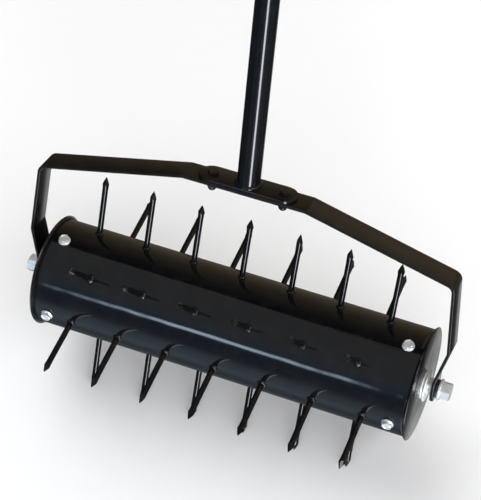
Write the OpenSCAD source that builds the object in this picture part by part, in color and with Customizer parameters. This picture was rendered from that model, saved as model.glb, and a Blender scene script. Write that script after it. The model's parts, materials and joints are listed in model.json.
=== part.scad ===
// Hand-push spike roller: a drum with six rows of spikes turns between the arms of a flat-bar yoke.
// Millimetres. Each part is drawn in the tool frame: axle along X through the origin, handle along +Z.
// in_place() then leans the whole tool back and puts the middle of the grip at the origin.

/* [Drum] */
// outside diameter of the drum shell
drum_d = 120; // [80:1:200]
// length of the drum shell along the axle
drum_l = 432; // [250:1:700]
// sheet thickness of the drum shell and of the cap skirts
drum_wall = 2; // [1:0.5:4]
// turn of the drum about the axle at rest, in degrees from the front toward the handle
drum_phase = 40; // [0:1:60]

/* [End caps] */
// diameter of the end discs
cap_d = 127; // [80:0.5:210]
// thickness of the end discs
cap_t = 3.5; // [2:0.5:6]
// length of the skirt that goes into the drum
cap_skirt_l = 28; // [15:1:40]
// distance of the cap screws from the end of the drum
cap_screw_inset = 16; // [8:1:24]

/* [Spikes] */
// length of a spike outside the drum
spike_l = 69; // [30:1:100]
// diameter of the spike shaft
spike_d = 6.4; // [4:0.2:12]
// spacing of the spikes in a row of seven
pitch_seven = 57; // [30:0.5:80]
// spacing of the spikes in a row of six
pitch_six = 62; // [30:0.5:80]

/* [Yoke] */
// width of the flat bar
bar_w = 30; // [20:1:50]
// thickness of the flat bar
bar_t = 3.5; // [2:0.5:8]
// half of the yoke's overall width at the corners
yoke_corner_x = 236.5; // [200:0.5:400]
// height of the corners above the axle
yoke_corner_z = 143; // [140:0.5:250]
// height of the flat middle above the axle
yoke_top_z = 182.5; // [150:0.5:300]
// half of the length of the flat middle
yoke_flat_x = 69; // [50:1:120]
// half width over the arms where the joggle starts
joggle_top_x = 244; // [200:0.5:400]
// half width over the lugs
lug_x = 234.2; // [200:0.1:400]

/* [Handle] */
// outside diameter of the handle tubes
tube_d = 25; // [20:0.5:35]
// wall thickness of the handle tubes
tube_wall = 1.5; // [1:0.25:3]
// top of the handle above the axle
handle_top_z = 1185; // [800:5:1400]
// outside diameter of the grip
grip_d = 32; // [28:0.5:45]
// angle of the handle from upright
lean = 20; // [0:1:45]

/* [View] */
// part to show, or all of them

/* [Hidden] */
$fn = 96;
gap = 0.3;
side_signs = [-1, 1];

drum_r = drum_d / 2;
bore_r = drum_r - drum_wall;
drum_end = drum_l / 2;
cap_face = drum_end + cap_t;

row_count = 6;
row_step = 360 / row_count;
row_angles = [for (i = [0 : row_count - 1]) drum_phase + row_step * (i + 1)];
spike_r = spike_d / 2;
spike_tip_r = 0.4;
spike_tip_l = 9;
spike_head_r = 5.5;
spike_head_t = 2;
spike_head_top = sqrt(bore_r * bore_r - spike_head_r * spike_head_r) - 0.05;
spike_end = drum_r + spike_l;

cap_screw_x = drum_end - cap_screw_inset;
cap_screw_angles = [for (i = [0 : 3]) drum_phase + 32 + 90 * i];
cap_screw_shank_r = 2.95;
cap_screw_hole_r = 3.2;
cap_screw_l = 10;
cap_screw_flange_r = 6.8;
cap_screw_flange_t = 1.5;
cap_screw_head_t = 4;
cap_screw_af = 10;

bolt_r = 6;
bolt_af = 18;
bolt_head_t = 10.6;
bolt_face_r = 8.6;
bolt_face_t = 0.6;
bolt_hole_r = bolt_r + 0.3;
nut_bore_r = bolt_r + 0.05;
bush_body_r = 10;
bush_flange_r = 15.5;
bush_flange_t = 2.6;
bush_l = 14;
spacer_r = 9.5;
spacer_t = 0.6;
big_washer_r = 18;
big_washer_t = 1.6;
lug_in = lug_x - bar_t;
spring_washer_t = 3.2;
flat_washer_t = 2.4;
bolt_seat = lug_x + spring_washer_t + flat_washer_t;
bush_out = cap_face + bush_flange_t;
bush_in = cap_face - bush_l;
spacer_in = bush_out + gap;
big_washer_in = spacer_in + spacer_t;
jam_nut_in = big_washer_in + big_washer_t;
inner_washer_r = 12;
inner_washer_t = 2;
inner_nut_t = 10;
inner_washer_out = bush_in - gap;
inner_nut_out = inner_washer_out - inner_washer_t;
bolt_end = inner_nut_out - inner_nut_t - 2;

bar_mid = bar_t / 2;
joggle_top_z = 57;
joggle_low_z = 15;
bend_r = 9;
bend_steps = 6;
right_path = [
    [yoke_flat_x, yoke_top_z - bar_mid],
    [yoke_corner_x - bar_mid, yoke_corner_z - bar_mid],
    [joggle_top_x - bar_mid, joggle_top_z],
    [lug_x - bar_mid, joggle_low_z],
    [lug_x - bar_mid, -bar_w]
];
left_path = [for (i = [len(right_path) - 1 : -1 : 0]) [-right_path[i][0], right_path[i][1]]];
yoke_path = concat(left_path, right_path);

plate_t = 4;
plate_l = 110;
plate_bolt_x = 40;
plate_bolt_r = 2.95;
plate_hole_r = 3.25;
plate_bolt_af = 10;
plate_bolt_head_t = 4;
plate_washer_r = 6;
plate_washer_t = 1.2;
plate_nut_t = 7.5;
plate_dome_r = 4.9;
plate_top = yoke_top_z + plate_t;
yoke_under = yoke_top_z - bar_t;

tube_r = tube_d / 2;
tube_bore_r = tube_r - tube_wall;
spigot_r = tube_bore_r - 0.1;
spigot_l = 55;
joint_one_z = 555;
joint_two_z = 870;
grip_end_t = 5;
tube_top = handle_top_z - grip_end_t;
joint_zs = [joint_one_z, joint_two_z];
joint_bolt_r = 2.95;
joint_hole_r = 3.2;
joint_bolt_drop = 28;
joint_bolt_af = 10;
joint_head_t = 4;
joint_bolt_out = tube_r + 9;
wing_hub_r = 5.5;
wing_hub_t = 5;
wing_w = 24;
wing_h = 12;
wing_t = 2.4;
weld_leg = 4;

grip_r = grip_d / 2;
grip_l = 130;
grip_low_z = handle_top_z - grip_l;
grip_chamfer = 3;
grip_mid_z = handle_top_z - grip_l / 2;

black_paint = [0.02, 0.02, 0.025];
zinc = [0.75, 0.75, 0.72];
dark_steel = [0.25, 0.25, 0.26];
grip_rubber = [0.05, 0.05, 0.05];

// Leans the tool back and puts the middle of the grip at the origin.
module in_place() {
    rotate([-lean, 0, 0])
        translate([0, 0, -grip_mid_z])
            children();
}

// A direction round the axle: 0 points to the front, 90 up the handle.
module around_axle(angle) {
    rotate([-angle, 0, 0])
        rotate([90, 0, 0])
            children();
}

// A cylinder along X from x_low to x_high.
module x_cylinder(x_low, x_high, r) {
    translate([x_low, 0, 0])
        rotate([0, 90, 0])
            cylinder(h = x_high - x_low, r = r);
}

// A hexagonal prism along X, given across its flats.
module x_hexagon(x_low, x_high, flats) {
    translate([x_low, 0, 0])
        rotate([0, 90, 0])
            cylinder(h = x_high - x_low, r = flats / sqrt(3), $fn = 6);
}

module x_ring(x_low, x_high, r_out, r_in) {
    difference() {
        x_cylinder(x_low, x_high, r_out);
        x_cylinder(x_low - 1, x_high + 1, r_in);
    }
}

function spike_xs(count, pitch) = [for (i = [0 : count - 1]) (i - (count - 1) / 2) * pitch];
function row_is_long(row) = row % 2 == 1;
function row_xs(row) = row_is_long(row) ? spike_xs(7, pitch_seven) : spike_xs(6, pitch_six);

module drum_shell() {
    color(black_paint)
        in_place()
            difference() {
                x_cylinder(-drum_end, drum_end, drum_r);
                x_cylinder(-drum_end - 1, drum_end + 1, bore_r);
                for (row = [1 : row_count])
                    around_axle(row_angles[row - 1])
                        for (x = row_xs(row))
                            translate([x, 0, bore_r - 2])
                                cylinder(h = drum_wall + 4, r = spike_r + 0.02);
                for (angle = cap_screw_angles)
                    around_axle(angle)
                        for (side = side_signs)
                            translate([side * cap_screw_x, 0, bore_r - 2])
                                cylinder(h = drum_wall + 4, r = cap_screw_hole_r);
            }
}

module end_cap(side) {
    color(black_paint)
        in_place()
            mirror([side < 0 ? 1 : 0, 0, 0])
                difference() {
                    union() {
                        x_cylinder(drum_end, cap_face, cap_d / 2);
                        x_ring(drum_end - cap_skirt_l, drum_end + 0.5, bore_r - 0.05, bore_r - drum_wall);
                    }
                    x_cylinder(drum_end - 1, cap_face + 1, bush_body_r + 0.02);
                    for (angle = cap_screw_angles)
                        around_axle(angle)
                            translate([cap_screw_x, 0, bore_r - drum_wall - 2])
                                cylinder(h = drum_wall + 3, r = cap_screw_shank_r + 0.05);
                }
}

module left_end_cap() {
    end_cap(-1);
}

module right_end_cap() {
    end_cap(1);
}

module spike() {
    translate([0, 0, spike_head_top - spike_head_t])
        cylinder(h = spike_head_t, r = spike_head_r);
    translate([0, 0, spike_head_top - spike_head_t])
        cylinder(h = spike_end - spike_tip_l - spike_head_top + spike_head_t, r = spike_r);
    translate([0, 0, spike_end - spike_tip_l])
        cylinder(h = spike_tip_l, r1 = spike_r, r2 = spike_tip_r);
}

module spike_row(row) {
    color(black_paint)
        in_place()
            around_axle(row_angles[row - 1])
                for (x = row_xs(row))
                    translate([x, 0, 0])
                        spike();
}

module spike_row_1() {
    spike_row(1);
}

module spike_row_2() {
    spike_row(2);
}

module spike_row_3() {
    spike_row(3);
}

module spike_row_4() {
    spike_row(4);
}

module spike_row_5() {
    spike_row(5);
}

module spike_row_6() {
    spike_row(6);
}

module cap_screw() {
    seat = drum_r + 0.02;
    translate([0, 0, seat - cap_screw_l])
        cylinder(h = cap_screw_l + 1, r = cap_screw_shank_r);
    translate([0, 0, seat])
        cylinder(h = cap_screw_flange_t, r = cap_screw_flange_r);
    translate([0, 0, seat])
        cylinder(h = cap_screw_flange_t + cap_screw_head_t, r = cap_screw_af / sqrt(3), $fn = 6);
}

module cap_screws(side) {
    color(zinc)
        in_place()
            for (angle = cap_screw_angles)
                around_axle(angle)
                    translate([side * cap_screw_x, 0, 0])
                        cap_screw();
}

module left_cap_screws() {
    cap_screws(-1);
}

module right_cap_screws() {
    cap_screws(1);
}

module bush(side) {
    color(zinc)
        in_place()
            mirror([side < 0 ? 1 : 0, 0, 0])
                difference() {
                    union() {
                        x_cylinder(bush_in, cap_face + 0.5, bush_body_r);
                        x_cylinder(cap_face, bush_out, bush_flange_r);
                    }
                    x_cylinder(bush_in - 1, bush_out + 1, nut_bore_r);
                }
}

module left_bush() {
    bush(-1);
}

module right_bush() {
    bush(1);
}

function turn_of(a, b) = atan2(b[1] - a[1], b[0] - a[0]);
function wrapped(angle) = angle > 180 ? angle - 360 : angle < -180 ? angle + 360 : angle;
function bend_at(i) =
    wrapped(turn_of(yoke_path[i], yoke_path[i + 1]) - turn_of(yoke_path[i - 1], yoke_path[i]));

// Points of one bend on the side that is `offset` to the left of the path.
function bend_points(i, offset) =
    let(
        angle = bend_at(i),
        hand = sign(angle),
        heading = turn_of(yoke_path[i - 1], yoke_path[i]),
        ahead = [cos(heading), sin(heading)],
        left = [-sin(heading), cos(heading)],
        start = yoke_path[i] - ahead * bend_r * tan(abs(angle) / 2),
        centre = start + left * hand * bend_r,
        radius = bend_r - hand * offset
    )
    [
        for (step = [0 : bend_steps])
            let(turn = heading - 90 * hand + angle * step / bend_steps)
            centre + radius * [cos(turn), sin(turn)]
    ];

// One edge of the whole bar, from the left lug to the right one.
function bar_edge(offset) =
    let(last = len(yoke_path) - 1)
    concat(
        [[yoke_path[0][0] - offset, yoke_path[0][1]]],
        [for (i = [1 : last - 1]) each bend_points(i, offset)],
        [[yoke_path[last][0] + offset, yoke_path[last][1]]]
    );

function reversed(list) = [for (i = [len(list) - 1 : -1 : 0]) list[i]];

// The lugs end round, centred on the axle.
module lug_outline() {
    circle(r = bar_w / 2);
    translate([-bar_w / 2, 0])
        square([bar_w, yoke_top_z + 10]);
}

module yoke() {
    width = 2 * joggle_top_x + 20;
    color(black_paint)
        in_place()
            difference() {
                intersection() {
                    rotate([90, 0, 0])
                        translate([0, 0, -bar_w / 2 - 1])
                            linear_extrude(height = bar_w + 2)
                                polygon(concat(bar_edge(bar_mid), reversed(bar_edge(-bar_mid))));
                    rotate([90, 0, 90])
                        translate([0, 0, -width / 2])
                            linear_extrude(height = width)
                                lug_outline();
                }
                x_cylinder(-width / 2, width / 2, bolt_hole_r);
                for (side = side_signs)
                    translate([side * plate_bolt_x, 0, yoke_under - 5])
                        cylinder(h = bar_t + 10, r = plate_hole_r);
            }
}

module foot_plate() {
    end_x = (plate_l - bar_w) / 2;
    color(black_paint)
        in_place()
            difference() {
                translate([0, 0, yoke_top_z])
                    union() {
                        translate([-end_x, -bar_w / 2, 0])
                            cube([2 * end_x, bar_w, plate_t]);
                        for (side = side_signs)
                            translate([side * end_x, 0, 0])
                                cylinder(h = plate_t, r = bar_w / 2);
                    }
                for (side = side_signs)
                    translate([side * plate_bolt_x, 0, yoke_top_z - 5])
                        cylinder(h = plate_t + 10, r = plate_hole_r);
            }
}

module plate_bolts() {
    shank_low = yoke_under - plate_washer_t - plate_nut_t;
    color(black_paint)
        in_place()
            for (side = side_signs)
                translate([side * plate_bolt_x, 0, 0]) {
                    translate([0, 0, shank_low])
                        cylinder(h = plate_top - shank_low + 1, r = plate_bolt_r);
                    translate([0, 0, plate_top])
                        cylinder(h = plate_bolt_head_t, r = plate_bolt_af / sqrt(3), $fn = 6);
                }
}

module plate_washers() {
    color(black_paint)
        in_place()
            for (side = side_signs)
                translate([side * plate_bolt_x, 0, yoke_under - plate_washer_t])
                    difference() {
                        cylinder(h = plate_washer_t, r = plate_washer_r);
                        translate([0, 0, -1])
                            cylinder(h = plate_washer_t + 2, r = plate_hole_r);
                    }
}

// Domed nuts: a hexagon with a round cap over the end of the bolt.
module plate_nuts() {
    nut_top = yoke_under - plate_washer_t;
    color(black_paint)
        in_place()
            for (side = side_signs)
                translate([side * plate_bolt_x, 0, nut_top - plate_nut_t])
                    difference() {
                        union() {
                            cylinder(h = plate_nut_t, r = plate_bolt_af / sqrt(3), $fn = 6);
                            sphere(r = plate_dome_r);
                        }
                        cylinder(h = plate_nut_t + 1, r = plate_bolt_r + 0.05);
                    }
}

module axle_bolt(side) {
    color(zinc)
        in_place()
            mirror([side < 0 ? 1 : 0, 0, 0]) {
                x_cylinder(bolt_end, bolt_seat + 1, bolt_r);
                x_cylinder(bolt_seat, bolt_seat + bolt_face_t + 0.5, bolt_face_r);
                x_hexagon(bolt_seat + bolt_face_t, bolt_seat + bolt_head_t, bolt_af);
            }
}

module left_axle_bolt() {
    axle_bolt(-1);
}

module right_axle_bolt() {
    axle_bolt(1);
}

// The same piece on both ends of the axle.
module both_ends() {
    children();
    mirror([1, 0, 0])
        children();
}

module spring_washers() {
    color(dark_steel)
        in_place()
            both_ends()
                x_ring(lug_x, lug_x + spring_washer_t, 10.2, bolt_hole_r);
}

module flat_washers() {
    color(zinc)
        in_place()
            both_ends()
                x_ring(bolt_seat - flat_washer_t, bolt_seat, 12, bolt_hole_r);
}

module jam_nuts() {
    color(zinc)
        in_place()
            both_ends()
                difference() {
                    x_hexagon(jam_nut_in, lug_in, bolt_af);
                    x_cylinder(jam_nut_in - 1, lug_in + 1, nut_bore_r);
                }
}

module spacers() {
    color(dark_steel)
        in_place()
            both_ends()
                x_ring(spacer_in, big_washer_in, spacer_r, bolt_hole_r);
}

module thrust_washers() {
    color(zinc)
        in_place()
            both_ends()
                x_ring(big_washer_in, jam_nut_in, big_washer_r, bolt_hole_r);
}

module inner_washers() {
    color(zinc)
        in_place()
            both_ends()
                x_ring(inner_nut_out, inner_washer_out, inner_washer_r, bolt_hole_r);
}

module inner_lock_nuts() {
    color(zinc)
        in_place()
            both_ends()
                difference() {
                    x_hexagon(inner_nut_out - inner_nut_t, inner_nut_out, bolt_af);
                    x_cylinder(inner_nut_out - inner_nut_t - 1, inner_nut_out + 1, nut_bore_r);
                }
}

// Crosswise holes for the joint bolt under each tube joint.
module joint_holes() {
    for (z = joint_zs)
        translate([0, 0, z - joint_bolt_drop])
            x_cylinder(-tube_r - 1, tube_r + 1, joint_hole_r);
}

module tube_piece(low, high, has_spigot) {
    spigot_low = has_spigot ? low - spigot_l : low;
    color(black_paint)
        in_place()
            difference() {
                union() {
                    translate([0, 0, low])
                        cylinder(h = high - low, r = tube_r);
                    if (has_spigot)
                        translate([0, 0, spigot_low])
                            cylinder(h = spigot_l + 1, r = spigot_r);
                }
                translate([0, 0, spigot_low - 1])
                    cylinder(h = low + (has_spigot ? 4 : 0) - spigot_low + 2, r = spigot_r - tube_wall);
                translate([0, 0, low + (has_spigot ? 4 : -1)])
                    cylinder(h = high - low + 5, r = tube_bore_r);
                joint_holes();
            }
}

module lower_tube() {
    tube_piece(plate_top, joint_one_z, false);
}

module middle_tube() {
    tube_piece(joint_one_z, joint_two_z, true);
}

module upper_tube() {
    tube_piece(joint_two_z, tube_top, true);
}

// The fillet weld between the lower tube and the foot plate.
module tube_weld() {
    color(black_paint)
        in_place()
            translate([0, 0, plate_top])
                rotate_extrude()
                    polygon([
                        [tube_r + 0.01, 0],
                        [tube_r + weld_leg, 0],
                        [tube_r + weld_leg * 0.8, weld_leg * 0.55],
                        [tube_r + weld_leg * 0.5, weld_leg * 0.85],
                        [tube_r + 0.01, weld_leg]
                    ]);
}

module joint_bolts() {
    color(zinc)
        in_place()
            for (z = joint_zs)
                translate([0, 0, z - joint_bolt_drop]) {
                    x_cylinder(-tube_r - 0.5, joint_bolt_out, joint_bolt_r);
                    x_hexagon(-tube_r - joint_head_t, -tube_r, joint_bolt_af);
                }
}

// Wing nuts: a round hub with two flat wings.
module wing_nuts() {
    hub_low = tube_r + 0.02;
    color(zinc)
        in_place()
            for (z = joint_zs)
                translate([0, 0, z - joint_bolt_drop])
                    difference() {
                        union() {
                            x_cylinder(hub_low, hub_low + wing_hub_t, wing_hub_r);
                            translate([hub_low + 1, -wing_t / 2, -wing_w / 2])
                                cube([wing_h, wing_t, wing_w / 2 - joint_bolt_r - 0.2]);
                            translate([hub_low + 1, -wing_t / 2, joint_bolt_r + 0.2])
                                cube([wing_h, wing_t, wing_w / 2 - joint_bolt_r - 0.2]);
                        }
                        x_cylinder(hub_low - 1, joint_bolt_out + 1, joint_bolt_r + 0.05);
                    }
}

module handle_grip() {
    color(grip_rubber)
        in_place()
            translate([0, 0, grip_low_z])
                rotate_extrude()
                    polygon([
                        [tube_r + 0.05, 0],
                        [grip_r - grip_chamfer, 0],
                        [grip_r, grip_chamfer],
                        [grip_r, grip_l - grip_chamfer],
                        [grip_r - grip_chamfer, grip_l],
                        [0, grip_l],
                        [0, grip_l - grip_end_t],
                        [tube_r + 0.05, grip_l - grip_end_t]
                    ]);
}

drum_shell();
left_end_cap();
right_end_cap();
spike_row_1();
spike_row_2();
spike_row_3();
spike_row_4();
spike_row_5();
spike_row_6();
left_cap_screws();
right_cap_screws();
left_bush();
right_bush();
yoke();
foot_plate();
plate_bolts();
plate_washers();
plate_nuts();
left_axle_bolt();
right_axle_bolt();
spring_washers();
flat_washers();
jam_nuts();
spacers();
thrust_washers();
inner_washers();
inner_lock_nuts();
lower_tube();
tube_weld();
middle_tube();
upper_tube();
joint_bolts();
wing_nuts();
handle_grip();
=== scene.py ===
"""Looks of a hand-push spike roller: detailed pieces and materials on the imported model, in a soft studio.

Shapes are drawn in millimetres in the tool frame, as in the CAD: axle along X through the origin, handle
along +Z. TOOL then scales them to metres and leans them back into place.
"""

import json
import math
import random

import bmesh
import bpy
from mathutils import Matrix, Vector, noise


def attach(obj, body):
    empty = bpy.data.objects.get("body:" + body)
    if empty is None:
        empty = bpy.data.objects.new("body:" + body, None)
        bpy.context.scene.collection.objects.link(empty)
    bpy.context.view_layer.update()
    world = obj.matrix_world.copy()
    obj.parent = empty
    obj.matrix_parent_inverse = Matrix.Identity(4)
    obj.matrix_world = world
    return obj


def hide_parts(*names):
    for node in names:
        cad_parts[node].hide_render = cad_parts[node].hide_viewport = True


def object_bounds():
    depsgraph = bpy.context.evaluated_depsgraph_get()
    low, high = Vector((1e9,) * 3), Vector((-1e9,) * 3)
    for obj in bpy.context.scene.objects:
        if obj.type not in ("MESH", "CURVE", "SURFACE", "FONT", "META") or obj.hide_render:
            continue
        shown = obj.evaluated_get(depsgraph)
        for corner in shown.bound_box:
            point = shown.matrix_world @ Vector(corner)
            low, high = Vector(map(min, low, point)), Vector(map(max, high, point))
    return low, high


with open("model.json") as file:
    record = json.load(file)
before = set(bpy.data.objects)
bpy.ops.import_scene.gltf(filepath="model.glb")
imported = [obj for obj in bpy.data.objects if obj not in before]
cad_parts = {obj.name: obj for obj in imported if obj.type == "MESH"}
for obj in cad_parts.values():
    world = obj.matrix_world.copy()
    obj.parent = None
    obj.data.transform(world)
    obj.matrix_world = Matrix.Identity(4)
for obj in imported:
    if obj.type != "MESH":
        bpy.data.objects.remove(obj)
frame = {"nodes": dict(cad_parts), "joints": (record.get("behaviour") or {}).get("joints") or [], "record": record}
cad_low, cad_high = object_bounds()

MILLIMETRE = 0.001
axle_at = Vector(frame["joints"][0]["pos_m"])
handle_axis = Vector(frame["record"]["mounts"][0]["axis"])
lean = math.atan2(handle_axis.y, handle_axis.z)
TOOL = Matrix.Translation(axle_at) @ Matrix.Rotation(-lean, 4, "X") @ Matrix.Scale(MILLIMETRE, 4)

FULL_TURN = 2 * math.pi
QUARTER_TURN = math.pi / 2

# Sides of the tool by their sign in X. X_AXIS lays local Z along X.
SIDES = {"left": -1, "right": 1}
X_AXIS = Matrix.Rotation(QUARTER_TURN, 4, "Y")
UNMOVED = Matrix.Identity(4)

# Hexagons, and the M6 screws and bolts. A chamfer starts at that share of half the flats.
HEXAGON_SEGMENTS = 72
CHAMFER_SLOPE = math.tan(math.radians(30))
CHAMFER_START = 0.95
M6_R = 2.9
M6_FLATS = 10.0
M6_HEAD_T = 4.0
M6_PITCH = 1.0

# Drum and end caps. Phases are in degrees round the axle, from the front toward the handle.
DRUM_R = 60.0
DRUM_WALL = 2.0
DRUM_BORE_R = DRUM_R - DRUM_WALL
DRUM_END = 216.0
DRUM_PHASE = 40
CAP_T = 3.5
CAP_R = 63.5
CAP_BORE_R = 15.0
CAP_FACE = DRUM_END + CAP_T
CAP_BACK = DRUM_END - 0.5
SKIRT_L = 28.0
SKIRT_R = DRUM_BORE_R - 0.1
SKIRT_BORE_R = SKIRT_R - 1.9
CAP_SCREW_X = 200.0
CAP_SCREW_PHASE = DRUM_PHASE + 32

# Spikes. The pitch along a row goes with the number of spikes in it.
ROWS = 6
ROW_STEP = 60
PITCHES = {6: 62.0, 7: 57.0}
SPIKE_R = 3.2
SPIKE_TIP = 129.0

# Axle bolts and what is on them. Distances run from the middle of the axle, so _IN is nearer to it.
BOLT_R = 6.0
BOLT_FLATS = 18.0
BOLT_PITCH = 1.75
HOLE_R = BOLT_R + 0.3
SNUG_R = BOLT_R + 0.05
BUSH_R = 10.0
BUSH_FLANGE_R = 15.5
BUSH_IN = CAP_FACE - 14
BUSH_OUT = CAP_FACE + 2.6
SPACER_R = 9.5
SPACER_IN = BUSH_OUT + 0.3
LARGE_WASHER_R = 18.0
LARGE_WASHER_IN = SPACER_IN + 0.6
JAM_NUT_IN = LARGE_WASHER_IN + 1.6
BAR_T = 3.5
LUG_OUT = 234.2
LUG_IN = LUG_OUT - BAR_T
SPRING_T = 3.2
SPRING_R = 10.2
WASHER_R = 12.0
WASHER_T = 2.4
BOLT_SEAT = LUG_OUT + SPRING_T + WASHER_T
BOLT_HEAD = BOLT_SEAT + 10.6
BOLT_END = 191.2
LOCK_NUT_IN = 193.2
LOCK_NUT_OUT = 203.2
INNER_WASHER_OUT = 205.2

# How far each hexagon is turned about the axle, in degrees
HEAD_TURNS = {"left": 41, "right": 1}
JAM_NUT_TURN = 45
LOCK_NUT_TURN = 8

# Yoke and foot plate
BAR_W = 30.0
LUG_R = BAR_W / 2
BEND_R = 9.0
YOKE_TOP = 182.5
YOKE_UNDER = YOKE_TOP - BAR_T
YOKE_FLAT_X = 69.0
YOKE_CORNER_X = 236.5
YOKE_CORNER_Z = 143.0
JOGGLE_TOP_X = 244.0
JOGGLE_TOP_Z = 57.0
JOGGLE_LOW_Z = 15.0
PLATE_T = 4.0
PLATE_L = 110.0
PLATE_TOP = YOKE_TOP + PLATE_T
PLATE_BOLT_X = 40.0
PLATE_BOLT_TURNS = (17, 48)
PLATE_WASHER_R = 6.0
PLATE_WASHER_T = 1.2
DOME_NUT_T = 7.5
DOME_R = 4.85

# Handle
TUBE_R = 12.5
HANDLE_TOP = 1185.0
GRIP_L = 130.0
GRIP_R = 16.0
JOINT_BOLT_Z = (527.0, 842.0)
WING_T = 2.4

rng = random.Random(7)
scene = bpy.context.scene


# ---------------------------------------------------------------- mesh helpers

def loft(bm, rings, place, looped=False):
    """Joins rings of points with quads. The end rings are capped, or joined to each other when looped."""
    rows = [[bm.verts.new(place @ Vector(point)) for point in ring] for ring in rings]
    pairs = list(zip(rows, rows[1:]))
    if looped:
        pairs.append((rows[-1], rows[0]))
    for low, high in pairs:
        for i in range(len(low)):
            j = (i + 1) % len(low)
            bm.faces.new((low[i], low[j], high[j], high[i]))
    if not looped:
        bm.faces.new(list(reversed(rows[0])))
        bm.faces.new(rows[-1])


def circle(radius, height, segments):
    """A ring of points round local Z."""
    step = FULL_TURN / segments
    return [(radius * math.cos(i * step), radius * math.sin(i * step), height) for i in range(segments)]


def turned(bm, profile, place, segments=64, looped=False):
    """A turned shape from (radius, height) pairs along local Z."""
    loft(bm, [circle(radius, height, segments) for radius, height in profile], place, looped)


def ring_profile(inner, outer, low, high, edge):
    """Cross-section of a flat ring with its outer edges rounded off."""
    return [
        (inner, low),
        (outer - edge, low),
        (outer - edge * 0.3, low + edge * 0.3),
        (outer, low + edge),
        (outer, high - edge),
        (outer - edge * 0.3, high - edge * 0.3),
        (outer - edge, high),
        (inner, high),
    ]


def washer(bm, inner, outer, low, high, place, edge=0.25):
    """A flat ring that fills low to high along local Z."""
    turned(bm, ring_profile(inner, outer, low, high, edge), place, segments=72, looped=True)


def hexagon_ring(flats, height, slope=0.0, inner=0.0):
    """A hexagon's outline, which rises by slope for each millimetre that it lies outside the inner circle."""
    ring = []
    for i in range(HEXAGON_SEGMENTS):
        angle = FULL_TURN * i / HEXAGON_SEGMENTS
        from_flat = math.radians((i * 360 / HEXAGON_SEGMENTS) % 60 - 30)
        reach = flats / 2 / math.cos(from_flat)
        z = height + slope * (reach - inner)
        ring.append((reach * math.cos(angle), reach * math.sin(angle), z))
    return ring


def hexagon_rings(flats, low, high, chamfer_low=False):
    """Rings of a hexagon whose corners are turned down to a circle at its top, and at its foot if asked."""
    inner = flats / 2 * CHAMFER_START
    rings = []
    if chamfer_low:
        rings.append(circle(inner, low, HEXAGON_SEGMENTS))
        rings.append(hexagon_ring(flats, low, CHAMFER_SLOPE, inner))
    else:
        rings.append(hexagon_ring(flats, low))
    rings.append(hexagon_ring(flats, high, -CHAMFER_SLOPE, inner))
    rings.append(circle(inner, high, HEXAGON_SEGMENTS))
    return rings


def hexagon_head(bm, flats, low, high, place):
    """A plain hexagon head, chamfered at its top."""
    loft(bm, hexagon_rings(flats, low, high), place)


def recessed_head(bm, flats, low, high, rim_r, recess_r, depth, place):
    """A hexagon head with a shallow round recess in its top."""
    rim = circle(rim_r, high, HEXAGON_SEGMENTS)
    recess = circle(recess_r, high - depth, HEXAGON_SEGMENTS)
    loft(bm, hexagon_rings(flats, low, high) + [rim, recess], place)


def hexagon_nut(bm, flats, bore, low, high, place):
    """A nut: a hexagon chamfered at both ends, with a countersunk bore through it."""
    sink = 0.6
    bore_profile = [(bore + sink, high), (bore, high - sink), (bore, low + sink), (bore + sink, low)]
    bore_rings = [circle(radius, height, HEXAGON_SEGMENTS) for radius, height in bore_profile]
    loft(bm, hexagon_rings(flats, low, high, chamfer_low=True) + bore_rings, place, looped=True)


def thread(radius, low, high, pitch):
    """Profile of a thread drawn as rings, rising from low to high."""
    depth = 0.55 * pitch
    count = int((high - low) / pitch)
    profile = []
    for i in range(count):
        z = low + i * pitch
        profile.append((radius, z))
        profile.append((radius - depth, z + pitch / 2))
    profile.append((radius, low + count * pitch))
    return profile


def bead_section(bar_r, width, height):
    """Cross-section of a weld bead: a quarter round, closed inside the bar and below the plate."""
    steps = 6
    root_r = bar_r - 0.4
    sunk = -0.5
    section = [(root_r, height)]
    for k in range(1, steps + 1):
        turn = QUARTER_TURN * k / steps
        section.append((bar_r + width * math.sin(turn), height * math.cos(turn)))
    section += [(bar_r + width, sunk), (root_r, sunk)]
    return section


def bead(bm, place, bar_r, width, height, surface, ripples, segments):
    """An uneven weld bead round a bar. surface(x, y) is how high the plate under it is."""
    lumps_around, lump_height, ripple_height = 1.6, 0.30, 0.07
    seed = rng.uniform(0, 100)
    sections = []
    for i in range(segments):
        angle = FULL_TURN * i / segments
        cos, sin = math.cos(angle), math.sin(angle)
        swell = 1 + lump_height * noise.noise(Vector((cos * lumps_around + seed, sin * lumps_around, 0)))
        swell += ripple_height * abs(math.sin(ripples * angle / 2 + seed))
        section = bead_section(bar_r, width * swell, height * swell)
        sections.append([(r * cos, r * sin, surface(r * cos, r * sin) + z) for r, z in section])
    loft(bm, list(zip(*sections)), place, looped=True)


def round_axle(angle, x=0.0):
    """Local Z points away from the axle: angle 0 to the front, 90 up the handle."""
    return Matrix.Translation((x, 0, 0)) @ Matrix.Rotation(math.radians(90 - angle), 4, "X")


def along_axle(side, turn=0.0):
    """Local Z runs out along the axle on that side."""
    return Matrix.Scale(side, 4, (1, 0, 0)) @ X_AXIS @ Matrix.Rotation(math.radians(turn), 4, "Z")


def make_piece(name, bm, material, body, replaces=(), sharp=35):
    """Turns a mesh drawn in the tool frame into a named piece that rides on a body.

    Edges that bend by more than sharp, in degrees, stay crisp, and the rest is shaded smooth.
    """
    bm.transform(TOOL)
    bmesh.ops.recalc_face_normals(bm, faces=bm.faces)
    mesh = bpy.data.meshes.new(name)
    bm.to_mesh(mesh)
    bm.free()
    mesh.shade_smooth()
    mesh.set_sharp_from_angle(angle=math.radians(sharp))
    mesh.materials.append(material)
    piece = bpy.data.objects.new(name, mesh)
    scene.collection.objects.link(piece)
    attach(piece, body)
    if replaces:
        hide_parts(*replaces)


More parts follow.
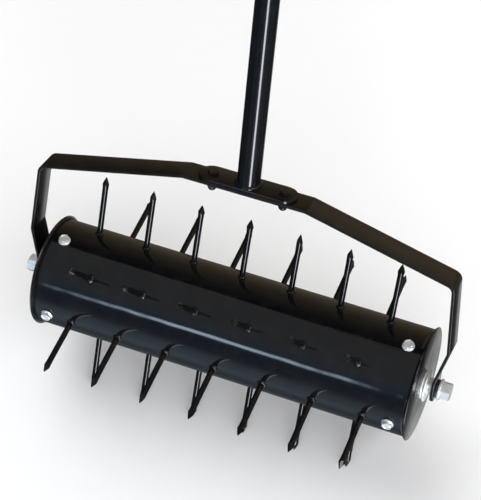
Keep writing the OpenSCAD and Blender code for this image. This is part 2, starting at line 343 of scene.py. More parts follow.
# ---------------------------------------------------------------- materials

# Sockets of a Mix node that mixes colours
MIX_FACTOR, MIX_A, MIX_B, MIX_RESULT = 0, 6, 7, 2


def shader(name, base, roughness, metallic=0.0):
    """A Principled material. Returns the material, its node tree and its shader node."""
    material = bpy.data.materials.new(name)
    material.use_nodes = True
    tree = material.node_tree
    principled = tree.nodes["Principled BSDF"]
    principled.inputs["Base Color"].default_value = (*base, 1)
    principled.inputs["Roughness"].default_value = roughness
    principled.inputs["Metallic"].default_value = metallic
    return material, tree, principled


def noise_of(tree, scale, detail, rough=0.5):
    """Noise in the piece's own coordinates. scale counts features per metre."""
    coords = tree.nodes.new("ShaderNodeTexCoord")
    texture = tree.nodes.new("ShaderNodeTexNoise")
    texture.inputs["Scale"].default_value = scale
    texture.inputs["Detail"].default_value = detail
    texture.inputs["Roughness"].default_value = rough
    tree.links.new(coords.outputs["Object"], texture.inputs["Vector"])
    return texture.outputs["Fac"]


def remap(tree, value, low, high, to_low=0.0, to_high=1.0):
    """Maps low to high onto another range, and stays within it."""
    node = tree.nodes.new("ShaderNodeMapRange")
    node.inputs["From Min"].default_value = low
    node.inputs["From Max"].default_value = high
    node.inputs["To Min"].default_value = to_low
    node.inputs["To Max"].default_value = to_high
    tree.links.new(value, node.inputs["Value"])
    return node.outputs["Result"]


def mix_colours(tree, factor, first, second, blend="MIX"):
    """Mixes two colours as far as the factor says. Each is a colour, or a socket that gives one."""
    node = tree.nodes.new("ShaderNodeMix")
    node.data_type = "RGBA"
    node.blend_type = blend
    tree.links.new(factor, node.inputs[MIX_FACTOR])
    for socket, colour in ((MIX_A, first), (MIX_B, second)):
        if isinstance(colour, tuple):
            node.inputs[socket].default_value = (*colour, 1)
        else:
            tree.links.new(colour, node.inputs[socket])
    return node.outputs[MIX_RESULT]


def bump(tree, principled, layers):
    """Stacks bumps from (height, distance in metres) pairs onto the shader's normal."""
    normal = None
    for height, distance in layers:
        node = tree.nodes.new("ShaderNodeBump")
        node.inputs["Strength"].default_value = 1.0
        node.inputs["Distance"].default_value = distance
        tree.links.new(height, node.inputs["Height"])
        if normal is not None:
            tree.links.new(normal, node.inputs["Normal"])
        normal = node.outputs["Normal"]
    tree.links.new(normal, principled.inputs["Normal"])


def black_paint(name, base, dusty, gloss, peel, wave, specular=0.5):
    """Gloss enamel over steel: faint dust, uneven gloss, orange peel and long shallow waves.

    gloss is the middle roughness. peel and wave are heights in metres.
    """
    material, tree, principled = shader(name, base, gloss)
    principled.inputs["Specular IOR Level"].default_value = specular
    dust = remap(tree, noise_of(tree, scale=60, detail=5, rough=0.65), 0.45, 0.75)
    tree.links.new(mix_colours(tree, dust, base, dusty), principled.inputs["Base Color"])
    patches = noise_of(tree, scale=22, detail=4)
    roughness = remap(tree, patches, 0.3, 0.7, gloss * 0.8, gloss * 1.35)
    tree.links.new(roughness, principled.inputs["Roughness"])
    orange_peel = noise_of(tree, scale=520, detail=2)
    waves = noise_of(tree, scale=28, detail=1)
    bump(tree, principled, [(orange_peel, peel), (waves, wave)])
    return material


def plated_steel(name, warm, cool, roughness, metallic):
    """Zinc plate: warm and cool patches, fine grain and shallow dents."""
    material, tree, principled = shader(name, warm, roughness, metallic)
    patches = remap(tree, noise_of(tree, scale=240, detail=3), 0.35, 0.65)
    tree.links.new(mix_colours(tree, patches, warm, cool), principled.inputs["Base Color"])
    grain = noise_of(tree, scale=900, detail=4, rough=0.7)
    uneven = remap(tree, grain, 0.3, 0.7, roughness * 0.7, roughness * 1.5)
    tree.links.new(uneven, principled.inputs["Roughness"])
    dents = noise_of(tree, scale=180, detail=2)
    bump(tree, principled, [(grain, 0.00003), (dents, 0.00012)])
    return material


def moulded_rubber(name, base, worn):
    """Black rubber with greyer, rougher patches where hands have worn it."""
    material, tree, principled = shader(name, base, 0.6)
    wear = remap(tree, noise_of(tree, scale=90, detail=5, rough=0.6), 0.4, 0.75)
    tree.links.new(mix_colours(tree, wear, base, worn), principled.inputs["Base Color"])
    tree.links.new(remap(tree, wear, 0.0, 1.0, 0.5, 0.72), principled.inputs["Roughness"])
    grain = noise_of(tree, scale=1500, detail=2)
    bump(tree, principled, [(grain, 0.00006)])
    return material


BLUE_BLACK = (0.0026, 0.0028, 0.0034)
BLUE_BLACK_DUST = (0.006, 0.006, 0.006)
DRUM_PAINT = black_paint("drum_enamel", BLUE_BLACK, BLUE_BLACK_DUST, gloss=0.07, peel=0.00001, wave=0.0004)
TUBE_PAINT = black_paint("tube_enamel", BLUE_BLACK, BLUE_BLACK_DUST, gloss=0.08, peel=0.00001, wave=0.0001)
CAP_PAINT = black_paint(
    "cap_enamel", (0.0040, 0.0040, 0.0042), (0.009, 0.009, 0.008), gloss=0.20, peel=0.00002, wave=0.0002)
SPIKE_PAINT = black_paint(
    "spike_enamel", (0.0020, 0.0022, 0.0026), (0.004, 0.004, 0.004), gloss=0.11, peel=0.00002, wave=0.0002)
YOKE_PAINT = black_paint(
    "yoke_enamel", (0.0045, 0.0038, 0.0034), (0.010, 0.008, 0.006), gloss=0.17, peel=0.00004, wave=0.0003,
    specular=0.4)
BLACK_FASTENER = black_paint(
    "black_fastener", (0.009, 0.007, 0.006), (0.020, 0.016, 0.012), gloss=0.20, peel=0.00005, wave=0.0001)
ZINC = plated_steel("zinc_plate", (0.93, 0.93, 0.89), (0.85, 0.87, 0.86), roughness=0.30, metallic=0.72)
# A whiter, less metallic copy of the zinc plate for the bush and the washers beside it: its extra brightness is a
# painted highlight.
ZINC_PAINTED_HIGHLIGHT = plated_steel(
    "zinc_plate_painted_highlight", (0.97, 0.97, 0.95), (0.92, 0.94, 0.94), roughness=0.28, metallic=0.40)
# Blackened steel for the split washers. On the thin spacer rings between the bush flange and the large washers the
# same dark is painted shade of the gap there.
BLACKENED_STEEL_AND_GAP_SHADE = plated_steel(
    "blackened_steel_and_gap_shade", (0.10, 0.10, 0.11), (0.17, 0.17, 0.19), roughness=0.35, metallic=1.0)
RUBBER = moulded_rubber("grip_rubber", (0.012, 0.012, 0.012), (0.030, 0.029, 0.028))


# ---------------------------------------------------------------- drum

def drum_shell():
    """The rolled shell, a little uneven, as rolled sheet is."""
    around, along = 216, 108
    edge = 0.6
    dent_l, dents_around, dent_depth, dent_bias = 70, 1.1, 0.06, 0.6
    right_edge = [(DRUM_END - edge, 0), (DRUM_END - edge * 0.3, edge * 0.3), (DRUM_END, edge)]
    left_edge = [(-x, inset) for x, inset in reversed(right_edge)]
    span = 2 * (DRUM_END - edge)
    middle = [(-DRUM_END + edge + span * i / along, 0) for i in range(1, along)]
    angles = [FULL_TURN * i / around for i in range(around)]
    rings = []
    for x, inset in left_edge + middle + right_edge:
        ring = []
        for angle in angles:
            cos, sin = math.cos(angle), math.sin(angle)
            dent = noise.noise(Vector((x / dent_l, cos * dents_around, sin * dents_around))) - dent_bias
            radius = DRUM_R - inset + dent_depth * dent
            ring.append((x, radius * cos, radius * sin))
        rings.append(ring)
    for x in (DRUM_END, -DRUM_END):
        rings.append([(x, DRUM_BORE_R * math.cos(angle), DRUM_BORE_R * math.sin(angle)) for angle in angles])
    bm = bmesh.new()
    loft(bm, rings, UNMOVED, looped=True)
    make_piece("drum_shell_rolled", bm, DRUM_PAINT, "drum", ["drum_shell"])


def end_cap(name, side):
    """A pressed disc with a rolled rim, and the skirt that goes into the drum."""
    profile = [
        (CAP_BORE_R, CAP_FACE),
        (CAP_R - 4.5, CAP_FACE),
        (CAP_R - 3.8, CAP_FACE - 0.15),
        (CAP_R - 1.2, CAP_FACE - 0.15),
        (CAP_R - 0.5, CAP_FACE - 0.35),
        (CAP_R - 0.1, CAP_FACE - 0.7),
        (CAP_R, CAP_FACE - 1.1),
        (CAP_R - 0.3, CAP_FACE - 1.6),
        (CAP_R - 1.0, DRUM_END + 1.3),
        (CAP_R - 1.7, DRUM_END + 0.6),
        (CAP_R - 2.6, DRUM_END + 0.25),
        (DRUM_R - 0.5, DRUM_END + 0.05),
        (SKIRT_R, DRUM_END + 0.05),
        (SKIRT_R, DRUM_END - SKIRT_L),
        (SKIRT_BORE_R, DRUM_END - SKIRT_L),
        (SKIRT_BORE_R, CAP_BACK),
        (CAP_BORE_R, CAP_BACK),
    ]
    bm = bmesh.new()
    turned(bm, profile, along_axle(side), segments=180, looped=True)
    make_piece(f"{name}_cap_pressed", bm, CAP_PAINT, "drum", [f"{name}_end_cap"])


def spike_ring(height, round_r, point_r, share, turn):
    """One ring of a spike: a circle, a four-sided point, or a share of both."""
    segments = 24
    ring = []
    for i in range(segments):
        angle = FULL_TURN * i / segments
        point = point_r / (abs(math.cos(angle)) + abs(math.sin(angle)))
        radius = round_r * (1 - share) + point * share
        ring.append((radius * math.cos(angle + turn), radius * math.sin(angle + turn), height))
    return ring


def spike(bm, place):
    """A round shaft with a head inside the drum and a ground point that flares where it starts."""
    turn = rng.uniform(0, QUARTER_TURN)
    shift = rng.uniform(-0.4, 0.4)
    head = [(55.75, 5.2), (56.0, 5.5), (57.3, 5.5), (57.6, 5.2), (57.6, SPIKE_R)]
    shaft = [(height, SPIKE_R) for height in (70, 85, 100, 112)]
    swelling = [(117.5 + shift, SPIKE_R + 0.12)]
    stations = [(height, radius, 0, 0) for height, radius in head + shaft + swelling]
    # height, radius of the round, radius of the point, share of the point
    stations += [
        (119.6 + shift, SPIKE_R + 0.35, 4.4, 0.25),
        (120.8 + shift, SPIKE_R + 0.15, 4.1, 0.7),
        (122.2 + shift, 0, 3.3, 1.0),
        (125.6, 0, 1.95, 1.0),
        (SPIKE_TIP - 0.5, 0, 0.5, 1.0),
        (SPIKE_TIP - 0.1, 0, 0.18, 1.0),
    ]
    loft(bm, [spike_ring(*station, turn) for station in stations], place)


def drum_surface(x, y):
    """Height of the drum above the axle, beside a spike that stands on it along local Z."""
    return math.sqrt(DRUM_R * DRUM_R - y * y)


def spatter(bm, place):
    """Small round drops of weld metal beside a spike."""
    sunk = 0.15
    for _ in range(rng.choice((1, 2, 2, 3))):
        angle = rng.uniform(0, FULL_TURN)
        reach = rng.uniform(6.0, 10.0)
        x, y = reach * math.cos(angle), reach * math.sin(angle)
        size = rng.uniform(0.35, 0.75)
        base = place @ Matrix.Translation((x, y, drum_surface(x, y) - sunk))
        turned(bm, [(size, 0), (size * 0.9, size * 0.5), (size * 0.45, size * 0.85)], base, segments=10)


def spike_row(row):
    """Row numbers follow the CAD: odd rows have seven spikes, even rows six."""
    angle = DRUM_PHASE + ROW_STEP * row
    count = 7 if row % 2 else 6
    spikes, welds = bmesh.new(), bmesh.new()
    for i in range(count):
        place = round_axle(angle, (i - (count - 1) / 2) * PITCHES[count])
        spike(spikes, place)
        bead(welds, place, SPIKE_R, width=1.7, height=1.9, surface=drum_surface, ripples=7, segments=36)
        spatter(welds, place)
    make_piece(f"spikes_{row}", spikes, SPIKE_PAINT, "drum", [f"spike_row_{row}"], sharp=28)
    make_piece(f"spike_welds_{row}", welds, SPIKE_PAINT, "drum", sharp=60)


def cap_screw(bm, place):
    """A flange screw: shank, round flange, and a hexagon head with a recess."""
    profile = [
        (M6_R, DRUM_R - 9.5),
        (M6_R, DRUM_R),
        (6.4, DRUM_R + 0.05),
        (6.8, DRUM_R + 0.4),
        (6.8, DRUM_R + 1.0),
        (6.5, DRUM_R + 1.4),
        (5.6, DRUM_R + 2.0),
    ]
    turned(bm, profile, place)
    recessed_head(bm, M6_FLATS, DRUM_R + 1.2, DRUM_R + 5.5, rim_r=3.9, recess_r=3.3, depth=0.6, place=place)


def cap_screws(name, side):
    """Four screws that hold a cap's skirt in the drum, each head turned at random."""
    bm = bmesh.new()
    for k in range(4):
        spin = Matrix.Rotation(rng.uniform(0, math.pi / 3), 4, "Z")
        cap_screw(bm, round_axle(CAP_SCREW_PHASE + 90 * k, side * CAP_SCREW_X) @ spin)
    make_piece(f"{name}_flange_screws", bm, ZINC, "drum", [f"{name}_cap_screws"], sharp=24)


def bush(name, side):
    """The flanged bearing in a cap, which turns on the axle bolt."""
    profile = [
        (SNUG_R, BUSH_IN),
        (BUSH_R, BUSH_IN),
        (BUSH_R, CAP_FACE),
        (BUSH_FLANGE_R - 0.4, CAP_FACE + 0.02),
        (BUSH_FLANGE_R, CAP_FACE + 0.3),
        (BUSH_FLANGE_R, BUSH_OUT - 1.0),
        (BUSH_FLANGE_R - 0.3, BUSH_OUT - 0.4),
        (BUSH_FLANGE_R - 0.9, BUSH_OUT),
        (SNUG_R, BUSH_OUT),
    ]
    bm = bmesh.new()
    turned(bm, profile, along_axle(side), segments=72, looped=True)
    # The bush is in the lighter zinc copy: painted highlight.
    make_piece(f"{name}_bush_turned", bm, ZINC_PAINTED_HIGHLIGHT, "drum", [f"{name}_bush"])


# ---------------------------------------------------------------- axle hardware

def axle_bolt(name, side):
    """Threaded shank, washer face and a hexagon head with a recess."""
    place = along_axle(side, HEAD_TURNS[name])
    bm = bmesh.new()
    shank = thread(BOLT_R, BOLT_END, LUG_IN, BOLT_PITCH) + [(BOLT_R, LUG_IN + 1.8), (BOLT_R, BOLT_SEAT + 0.5)]
    turned(bm, shank, place)
    turned(bm, [(8.3, BOLT_SEAT), (8.6, BOLT_SEAT + 0.2), (8.6, BOLT_SEAT + 0.8)], place)
    recessed_head(bm, BOLT_FLATS, BOLT_SEAT + 0.6, BOLT_HEAD, rim_r=7.6, recess_r=7.1, depth=0.3, place=place)
    make_piece(f"{name}_hex_bolt", bm, ZINC, "frame", [f"{name}_axle_bolt"], sharp=24)


def spring_washer(bm, side):
    """A split ring whose ends stand slightly apart."""
    segments = 64
    split_at, split = math.radians(70), math.radians(9)
    rise, clearance = 0.45, 0.02
    low, high = LUG_OUT + clearance, LUG_OUT + SPRING_T - clearance - rise
    rings = []
    for i in range(segments + 1):
        share = i / segments
        angle = split_at + split + (FULL_TURN - split) * share
        cos, sin = math.cos(angle), math.sin(angle)
        section = ring_profile(HOLE_R, SPRING_R, low + rise * share, high + rise * share, edge=0.3)
        rings.append([(r * cos, r * sin, z) for r, z in section])
    loft(bm, rings, along_axle(side))


def axle_rings():
    """Washers, spacers and nuts that are alike at both ends of the axle."""
    spring, flat, spacer, large, jam, inside, lock = (bmesh.new() for _ in range(7))
    for side in SIDES.values():
        place = along_axle(side)
        spring_washer(spring, side)
        washer(flat, HOLE_R, WASHER_R, BOLT_SEAT - WASHER_T, BOLT_SEAT, place, edge=0.4)
        washer(spacer, HOLE_R, SPACER_R, SPACER_IN, LARGE_WASHER_IN, place)
        washer(large, HOLE_R, LARGE_WASHER_R, LARGE_WASHER_IN, JAM_NUT_IN, place, edge=0.5)
        washer(inside, HOLE_R, WASHER_R, LOCK_NUT_OUT, INNER_WASHER_OUT, place)
        hexagon_nut(jam, BOLT_FLATS, SNUG_R, JAM_NUT_IN, LUG_IN, along_axle(side, JAM_NUT_TURN))
        hexagon_nut(lock, BOLT_FLATS, SNUG_R, LOCK_NUT_IN, LOCK_NUT_OUT, along_axle(side, LOCK_NUT_TURN))
    for name, bm, material, slot, node in (
        ("split_washers", spring, BLACKENED_STEEL_AND_GAP_SHADE, "dark_steel", "spring_washers"),
        ("bolt_washers", flat, ZINC, "zinc_steel", "flat_washers"),
        # The spacer rings' dark is painted shade of the gap between bush flange and large washer.
        ("spacer_rings", spacer, BLACKENED_STEEL_AND_GAP_SHADE, "dark_steel", "spacers"),
        # The large and inner washers are in the lighter zinc copy: painted highlight.
        ("large_washers", large, ZINC_PAINTED_HIGHLIGHT, "zinc_steel", "thrust_washers"),
        ("bush_washers", inside, ZINC_PAINTED_HIGHLIGHT, "zinc_steel", "inner_washers"),
        ("lug_nuts", jam, ZINC, "zinc_steel", "jam_nuts"),
        ("bush_lock_nuts", lock, ZINC, "zinc_steel", "inner_lock_nuts"),
    ):
        make_piece(name, bm, material, "frame", [node], sharp=24)


# ---------------------------------------------------------------- yoke

def yoke_path():
    """Centre line of the right half of the bar as (point, heading) in X and Z, with round bends."""
    mid = BAR_T / 2
    steps = 12
    tip = 0.02
    corners = [
        Vector((0, YOKE_TOP - mid)),
        Vector((YOKE_FLAT_X, YOKE_TOP - mid)),
        Vector((YOKE_CORNER_X - mid, YOKE_CORNER_Z - mid)),
        Vector((JOGGLE_TOP_X - mid, JOGGLE_TOP_Z)),
        Vector((LUG_OUT - mid, JOGGLE_LOW_Z)),
        Vector((LUG_OUT - mid, -LUG_R)),
    ]
    stations = [(corners[0], 0.0)]
    for before, here, after in zip(corners, corners[1:], corners[2:]):
        first, second = (here - before).normalized(), (after - here).normalized()
        start_heading = math.atan2(first.y, first.x)
        turn = math.atan2(second.y, second.x) - start_heading
        hand = 1 if turn > 0 else -1
        start = here - first * BEND_R * math.tan(abs(turn) / 2)
        centre = start + Vector((-first.y, first.x)) * hand * BEND_R
        for k in range(steps + 1):
            heading = start_heading + turn * k / steps
            out = Vector((math.sin(heading), -math.cos(heading))) * hand
            stations.append((centre + out * BEND_R, heading))
    end = corners[-1]
    heading = stations[-1][1]
    ahead = Vector((math.cos(heading), math.sin(heading)))
    for k in range(steps, -1, -1):
        back = LUG_R * (1 - math.cos(QUARTER_TURN * k / steps)) if k else tip
        stations.append((end - ahead * back, heading))
    return stations


def bar_ring(point, heading, half_width, side):
    """A ring of the flat bar's cross-section with rounded edges."""
    half_t = BAR_T / 2
    edge = min(0.8, half_width * 0.5)
    normal = Vector((-math.sin(heading), math.cos(heading)))
    ring = []
    for corner_y, corner_t, start in ((1, 1, 0), (-1, 1, 90), (-1, -1, 180), (1, -1, 270)):
        for k in range(4):
            turn = math.radians(start + 30 * k)
            y = corner_y * (half_width - edge) + edge * math.cos(turn)
            t = corner_t * (half_t - edge) + edge * math.sin(turn)
            flat = point + normal * t
            ring.append((side * flat.x, y, flat.y))
    return ring


def yoke():
    """The flat bar, bent four times a side, with rounded lugs."""
    right = yoke_path()
    end = right[-1][0]
    narrowest = 0.6
    rings = []
    for side, stations in ((-1, list(reversed(right))), (1, right[1:])):
        for point, heading in stations:
            from_end = (point - end).length
            half_width = LUG_R
            if from_end < LUG_R:
                half_width = max(narrowest, math.sqrt(max(0.0, LUG_R ** 2 - (LUG_R - from_end) ** 2)))
            rings.append(bar_ring(point, heading, half_width, side))
    bm = bmesh.new()
    loft(bm, rings, UNMOVED)
    make_piece("yoke_bar", bm, YOKE_PAINT, "frame", ["yoke"], sharp=40)


def foot_plate():
    """A plate with round ends and softened edges."""
    end_x = PLATE_L / 2 - BAR_W / 2
    levels = [(0.0, 0.5), (0.5, 0.0), (PLATE_T - 0.9, 0.0), (PLATE_T - 0.3, 0.3), (PLATE_T, 1.0)]
    segments = 24
    rings = []
    for height, inset in levels:
        radius = BAR_W / 2 - inset
        ring = []
        for side, start in ((1, -90), (-1, 90)):
            for k in range(segments + 1):
                angle = math.radians(start + 180 * k / segments)
                x = side * end_x + radius * math.cos(angle)
                ring.append((x, radius * math.sin(angle), YOKE_TOP + height))
        rings.append(ring)
    bm = bmesh.new()
    loft(bm, rings, UNMOVED)
    make_piece("rounded_foot_plate", bm, YOKE_PAINT, "frame", ["foot_plate"])


def dome_nut(bm, low, high, place):
    """A hexagon nut with a domed end below it."""
    steps = [math.radians(12 * k) for k in range(7, 0, -1)]
    dome = [circle(DOME_R * math.cos(a), low - DOME_R * math.sin(a), HEXAGON_SEGMENTS) for a in steps]
    loft(bm, dome + hexagon_rings(M6_FLATS, low, high, chamfer_low=True), place)


def plate_hardware():
    """Two bolts through foot plate and yoke, with washers and dome nuts below."""
    bolts, washers, nuts = bmesh.new(), bmesh.new(), bmesh.new()
    nut_top = YOKE_UNDER - PLATE_WASHER_T
    for side, turn in zip(SIDES.values(), PLATE_BOLT_TURNS):
        place = Matrix.Translation((side * PLATE_BOLT_X, 0, 0)) @ Matrix.Rotation(math.radians(turn), 4, "Z")
        turned(bolts, [(M6_R, nut_top - 6), (M6_R, PLATE_TOP + 0.5)], place)
        turned(bolts, [(5.2, PLATE_TOP + 0.02), (5.5, PLATE_TOP + 0.3), (5.5, PLATE_TOP + 0.6)], place)
        hexagon_head(bolts, M6_FLATS, PLATE_TOP + 0.4, PLATE_TOP + M6_HEAD_T, place)
        washer(washers, M6_R + 0.3, PLATE_WASHER_R, nut_top, YOKE_UNDER, place)
        dome_nut(nuts, nut_top - DOME_NUT_T, nut_top, place)
    for name, bm, node, sharp in (
        ("plate_hex_bolts", bolts, "plate_bolts", 24),
        ("plate_flat_washers", washers, "plate_washers", 35),
        ("plate_dome_nuts", nuts, "plate_nuts", 24),
    ):
        make_piece(name, bm, BLACK_FASTENER, "frame", [node], sharp)


# ---------------------------------------------------------------- handle

def tube_weld():
    """The bead that joins the lower tube to the foot plate."""
    bm = bmesh.new()
    bead(bm, UNMOVED, TUBE_R, width=2.3, height=3.2, surface=lambda x, y: PLATE_TOP, ripples=26, segments=144)
    make_piece("tube_weld_bead", bm, YOKE_PAINT, "frame", ["tube_weld"], sharp=70)


def wing(bm, place, side):
    """One ear of a wing nut, cast, with soft edges."""
    outline = [
        (2.2, 1.0), (6.5, 1.6), (10.6, 5.0), (12.0, 9.2), (10.8, 12.2),
        (8.0, 12.4), (5.2, 10.2), (3.4, 8.0), (1.6, 7.4),
    ]
    verts = [bm.verts.new(Vector((0, side * reach, height))) for reach, height in outline]
    face = bm.faces.new(verts)
    grown = bmesh.ops.extrude_face_region(bm, geom=[face])
    moved = [v for v in grown["geom"] if isinstance(v, bmesh.types.BMVert)]
    bmesh.ops.translate(bm, vec=(WING_T, 0, 0), verts=moved)
    whole = verts + moved
    bmesh.ops.translate(bm, vec=(-WING_T / 2, 0, 0), verts=whole)
    edges = list(dict.fromkeys(edge for v in whole for edge in v.link_edges))
    made = bmesh.ops.bevel(bm, geom=edges, offset=0.7, segments=3, profile=0.5, affect="EDGES")
    whole = list(dict.fromkeys([*made["verts"], *(v for v in whole if v.is_valid)]))
    bmesh.ops.transform(bm, matrix=place, verts=whole)


def joint_hardware():
    """A bolt and a wing nut through each of the two tube joints."""
    bolts, wings = bmesh.new(), bmesh.new()
    hub = [
        (M6_R + 0.05, TUBE_R + 0.02),
        (5.2, TUBE_R + 0.02),
        (5.5, TUBE_R + 0.4),
        (5.1, TUBE_R + 4.2),
        (4.6, TUBE_R + 5.0),
        (M6_R + 0.05, TUBE_R + 5.0),
    ]
    shank = [(M6_R, -TUBE_R - 0.4)] + thread(M6_R, 6.0, TUBE_R + 8.6, M6_PITCH) + [(2.4, TUBE_R + 9.0)]
    for z in JOINT_BOLT_Z:
        level = Matrix.Translation((0, 0, z))
        turned(bolts, shank, level @ X_AXIS, segments=32)
        hexagon_head(bolts, M6_FLATS, TUBE_R, TUBE_R + M6_HEAD_T, level @ along_axle(-1))
        turned(wings, hub, level @ X_AXIS, segments=40, looped=True)
        for side in SIDES.values():
            wing(wings, level @ X_AXIS @ Matrix.Translation((0, side * 1.8, TUBE_R)), side)
    make_piece("tube_joint_bolts", bolts, ZINC, "frame", ["joint_bolts"], sharp=24)
    make_piece("cast_wing_nuts", wings, ZINC, "frame", ["wing_nuts"])


def grip():
    """A moulded sleeve with a flared foot, rounded ribs and a domed end."""
    foot = HANDLE_TOP - GRIP_L
    top = HANDLE_TOP
    ribs, rib_steps = 17, 6
    rib_start, rib_pitch = 14.0, 6.0
    rib_r, rib_depth = 14.75, 0.55
    profile = [
        (12.6, foot),
        (14.6, foot),
        (15.6, foot + 0.8),
        (GRIP_R, foot + 2.2),
        (GRIP_R, foot + 5.0),
        (15.4, foot + 6.6),
        (14.6, foot + 8.2),
        (14.4, foot + 10.5),
    ]
    for k in range(ribs):
        z = foot + rib_start + rib_pitch * k
        for i in range(rib_steps):
            share = i / rib_steps
            profile.append((rib_r - rib_depth * math.cos(FULL_TURN * share), z + rib_pitch * (share - 0.5)))
    profile += [
        (14.3, top - 15.0),
        (14.5, top - 11.0),
        (15.5, top - 8.5),
        (GRIP_R, top - 6.0),
        (15.9, top - 3.6),
        (15.0, top - 1.6),
        (13.0, top - 0.5),
        (9.0, top),
        (2.0, top),
    ]
    bm = bmesh.new()
    turned(bm, profile, UNMOVED, segments=96)
    make_piece("ribbed_grip", bm, RUBBER, "frame", ["handle_grip"], sharp=50)


def paint_tubes():
    """The plain tubes of the CAD stay, in enamel."""
    for node in ("lower_tube", "middle_tube", "upper_tube"):
        mesh = frame["nodes"][node].data
        mesh.materials.clear()
        mesh.materials.append(TUBE_PAINT)


# ---------------------------------------------------------------- floor, light and camera

def floor():
    """A plain pale floor. It casts no shadow and the paint doesn't mirror it, so the room below it shows."""
    pale, paler = (0.80, 0.80, 0.80), (0.82, 0.82, 0.82)
    half = 9.0
    material, tree, principled = shader("pale_floor", pale, 0.7)
    shade = remap(tree, noise_of(tree, scale=3, detail=2), 0.3, 0.7)
    tree.links.new(mix_colours(tree, shade, pale, paler), principled.inputs["Base Color"])
    mesh = bpy.data.meshes.new("floor")
    corners = [(-half, -half, 0), (half, -half, 0), (half, half, 0), (-half, half, 0)]
    mesh.from_pydata(corners, [], [(0, 1, 2, 3)])
    mesh.materials.append(material)
    plane = bpy.data.objects.new("floor", mesh)
    plane.location = (axle_at.x, axle_at.y, cad_low.z)
    plane.visible_glossy = False
    plane.visible_shadow = False
    scene.collection.objects.link(plane)


def lamp(name, kind, towards):
    """A light that shines on the axle from that direction. Returns the object and its settings."""
    data = bpy.data.lights.new(name, kind)
    light = bpy.data.objects.new(name, data)
    light.rotation_mode = "QUATERNION"
    light.rotation_quaternion = (-Vector(towards)).to_track_quat("-Z", "Y")
    scene.collection.objects.link(light)
    return light, data


def soft_box(name, at, size, radiance):
    """A square lamp at a place in metres from the axle, with the brightness that a mirror would show."""
    light, data = lamp(name, "AREA", at)
    light.location = axle_at + Vector(at)
    data.shape = "SQUARE"
    data.size = size
    data.energy = radiance * math.pi * size * size


def sky_light(name, towards, strength, spread):
    """Even light from one part of the ceiling, for the floor: the paint doesn't mirror it."""
    light, data = lamp(name, "SUN", towards)
    light.visible_glossy = False
    data.energy = strength
    data.angle = math.radians(spread)


def calculate(tree, operation, first, second):
    """The result of a Math node on two values."""
    node = tree.nodes.new("ShaderNodeMath")
    node.operation = operation
    tree.links.new(first, node.inputs[0])
    tree.links.new(second, node.inputs[1])
    return node.outputs[0]


def direction_angle(tree, rise, ahead):
    """The angle in degrees of a direction, from its two components."""
    angle = calculate(tree, "ARCTAN2", rise, ahead)
    return remap(tree, angle, -math.pi, math.pi, -180.0, 180.0)


def band(tree, value, low, high, soft):
    """1 where the value lies between low and high, falling evenly to 0 over the soft width outside."""
    rise = remap(tree, value, low - soft, low, 0.0, 1.0)
    fall = remap(tree, value, high, high + soft, 1.0, 0.0)
    return calculate(tree, "MULTIPLY", rise, fall)


# The room's colour by climb, the angle in degrees from the front at 0 over the ceiling at 90 to the back
# at 180, or under the floor at -90 to the back at -180.
ROOM = (
    (-180, (0.24, 0.19, 0.12)),
    (-145, (0.20, 0.16, 0.13)),
    (-124, (0.04, 0.04, 0.04)),
    (-108, (0.11, 0.13, 0.14)),
    (-82, (0.115, 0.145, 0.17)),
    (-64, (0.16, 0.20, 0.24)),
    (-25, (0.17, 0.21, 0.27)),
    (8, (0.09, 0.14, 0.22)),
    (32, (0.27, 0.36, 0.50)),
    (45, (0.34, 0.36, 0.39)),
    (114, (0.35, 0.35, 0.35)),
    (120, (0.14, 0.135, 0.135)),
    (124, (0.04, 0.035, 0.035)),
    (131, (0.035, 0.03, 0.03)),
    (137, (0.08, 0.065, 0.055)),
    (149, (0.15, 0.115, 0.08)),
    (180, (0.24, 0.19, 0.12)),
)

# The far left of the room is darker.
LEFT_BAND = ("x", -2.0, -0.56, 0.14)
LEFT_SHADE = (0.35, 0.35, 0.35)

# Windows and glows: a colour and two bands of direction, (measure, low, high, soft), that bound it. turn is
# the angle in degrees from the front to the right; x and z are the direction's own components.
GLOWS = (
    ((5.5, 7.0, 8.5), ("climb", 18.5, 22.0, 2.5), ("x", -0.29, -0.225, 0.065)),  # slit of window, left
    ((14.0, 14.5, 15.0), ("turn", 24.0, 34.0, 3.0), ("climb", -40.0, 12.0, 6.0)),  # tall window, right
    ((0.5, 0.5, 0.6), ("turn", 20.0, 38.0, 16.0), ("climb", -40.0, 12.0, 6.0)),  # haze beside it
    ((0.24, 0.32, 0.38), ("climb", -52.0, -30.0, 18.0), ("x", -0.42, -0.05, 0.12)),  # pool, low left
    ((0.66, 0.69, 0.67), ("x", 0.0, 0.19, 0.02), ("z", -1.0, -0.55, 0.2)),  # strip below, right
    ((0.32, 0.24, 0.17), ("x", 0.05, 2.0, 0.10), ("climb", 128.0, 170.0, 10.0)),  # dusk behind, right
)
BACKDROP = (0.92, 0.92, 0.92)


def room_ramp(tree, climb):
    """The room's colour for that climb."""
    ramp = tree.nodes.new("ShaderNodeValToRGB")
    elements = ramp.color_ramp.elements
    while len(elements) < len(ROOM):
        elements.new(0.5)
    for element, (degrees, colour) in zip(elements, ROOM):
        element.position = (degrees + 180) / 360
        element.color = (*colour, 1)
    tree.links.new(remap(tree, climb, -180.0, 180.0), ramp.inputs["Fac"])
    return ramp.outputs["Color"]


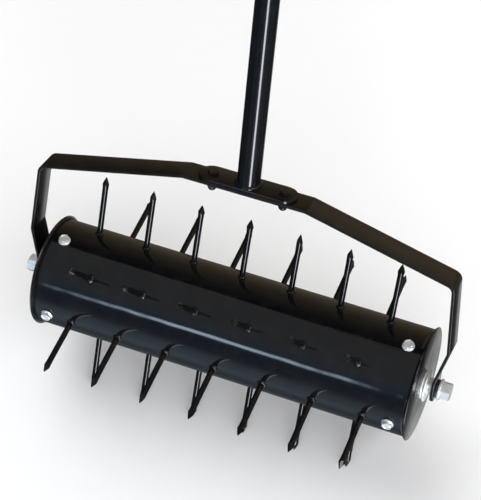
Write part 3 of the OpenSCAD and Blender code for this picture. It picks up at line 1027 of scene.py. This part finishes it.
def studio_world():
    """A soft room for the paint to reflect: cool window light in front, a neutral ceiling and warm dusk
    behind. The camera sees a pale backdrop in its place."""
    world = bpy.data.worlds.new("studio")
    scene.world = world
    world.use_nodes = True
    tree = world.node_tree
    coords = tree.nodes.new("ShaderNodeTexCoord")
    split = tree.nodes.new("ShaderNodeSeparateXYZ")
    tree.links.new(coords.outputs["Generated"], split.inputs[0])
    x, z = split.outputs["X"], split.outputs["Z"]
    ahead = remap(tree, split.outputs["Y"], -1.0, 1.0, 1.0, -1.0)
    climb = direction_angle(tree, z, ahead)
    turn = direction_angle(tree, x, ahead)
    measures = {"x": x, "z": z, "climb": climb, "turn": turn}

    def within(measure, low, high, soft):
        return band(tree, measures[measure], low, high, soft)

    colour = room_ramp(tree, climb)
    colour = mix_colours(tree, within(*LEFT_BAND), colour, LEFT_SHADE, "MULTIPLY")
    for glow, first, second in GLOWS:
        factor = calculate(tree, "MULTIPLY", within(*first), within(*second))
        colour = mix_colours(tree, factor, colour, glow, "ADD")
    path = tree.nodes.new("ShaderNodeLightPath")
    colour = mix_colours(tree, path.outputs["Is Camera Ray"], colour, BACKDROP)
    tree.links.new(colour, tree.nodes["Background"].inputs["Color"])


def camera():
    """The camera's place and aim are in the tool frame, in millimetres."""
    at = TOOL @ Vector((493.7, -1479.0, 1183.0))
    aim = TOOL @ Vector((-1.3, 0, 100.7))
    roll = Matrix.Rotation(math.radians(-4.6), 4, "Z").to_quaternion()
    data = bpy.data.cameras.new("camera")
    data.sensor_width = 36
    data.lens = 127.8
    data.clip_end = 100
    view = bpy.data.objects.new("camera", data)
    view.rotation_mode = "QUATERNION"
    view.location = at
    view.rotation_quaternion = (aim - at).to_track_quat("-Z", "Y") @ roll
    scene.collection.objects.link(view)
    scene.camera = view


drum_shell()
for name, side in SIDES.items():
    end_cap(name, side)
    cap_screws(name, side)
    bush(name, side)
    axle_bolt(name, side)
for row in range(1, ROWS + 1):
    spike_row(row)
axle_rings()
yoke()
foot_plate()
plate_hardware()
tube_weld()
joint_hardware()
grip()
paint_tubes()

floor()
studio_world()
sky_light("overhead", towards=(-0.5, 0.5, 1.0), strength=1.8, spread=50)
sky_light("front", towards=(0.5, -0.9, 1.0), strength=1.7, spread=50)
soft_box("key_right", at=(2.6, -0.4, 2.4), size=1.2, radiance=6.0)
camera()
scene.view_settings.view_transform = "Standard"
